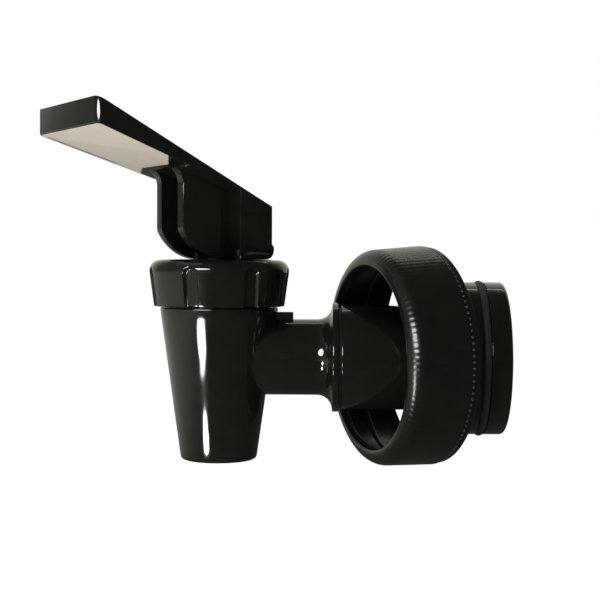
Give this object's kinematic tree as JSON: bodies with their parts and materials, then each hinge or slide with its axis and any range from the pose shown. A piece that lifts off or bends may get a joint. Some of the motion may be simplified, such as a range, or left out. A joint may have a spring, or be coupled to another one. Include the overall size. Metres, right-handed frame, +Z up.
{
  "type": "refill container tap",
  "caption": "Self-closing paddle tap: tapered spout, sprung stem and swivelling lever, on a sealed neck plug with a loose knurled screw collar.",
  "frame": {"origin": "centre of the adaptor's seat face, where the shank's axis meets the container's neck", "axes": "+X along the shank into the container, +Z up along the stem, +Y away from the viewer"},
  "size_m": [0.1171, 0.0657, 0.0898],
  "materials": {
    "black_plastic": "moulded, glossy",
    "black_knurled": "moulded, satin with fine ribs",
    "label": "satin plate",
    "stem_plastic": "moulded, satin",
    "steel": "drawn wire and rod",
    "silicone": "moulded silicone",
    "seal_rubber": "moulded rubber"
  },
  "bodies": {
    "tap": {"tap_body": "black_plastic", "bonnet": "black_plastic", "return_spring": "steel", "flange_washer": "seal_rubber", "adaptor_sleeve": "black_plastic", "neck_adaptor": "black_plastic", "plug_o_ring": "seal_rubber", "nut_washer": "seal_rubber", "shank_nut": "black_plastic"},
    "seat": {"seat_cup": "silicone"},
    "stem": {"valve_stem": "stem_plastic", "hinge_pin": "steel"},
    "lever": {"lever": "black_plastic", "lever_label": "label"},
    "collar": {"screw_collar": "black_knurled"}
  },
  "joints": [
    {"name": "lever_tilt", "type": "hinge", "parent": "stem", "child": "lever", "pos_m": [-0.0525, 0, 0.0366], "axis": [0.6129, -0.7902, 0], "range_deg": [0, 34]},
    {"name": "lever_swivel", "type": "hinge", "parent": "seat", "child": "stem", "pos_m": [-0.0525, 0, 0.0366], "axis": [0, 0, 1], "continuous": true},
    {"name": "stem_lift", "type": "slide", "parent": "tap", "child": "seat", "axis": [0, 0, 1], "range_m": [0, 0.00208], "stiffness_N_per_m": 800, "springref_m": -0.003, "deforming": ["return_spring", "seat_cup"]},
    {"name": "collar_turn", "type": "hinge", "parent": "tap", "child": "collar", "pos_m": [-0.01447, -0.0057, 0.00025], "axis": [0.9262, 0.3761, 0.0279], "continuous": true}
  ],
  "couplings": [
    {"joint": "lever_tilt", "follows": "stem_lift", "rad_per_m": 285.71}
  ]
}
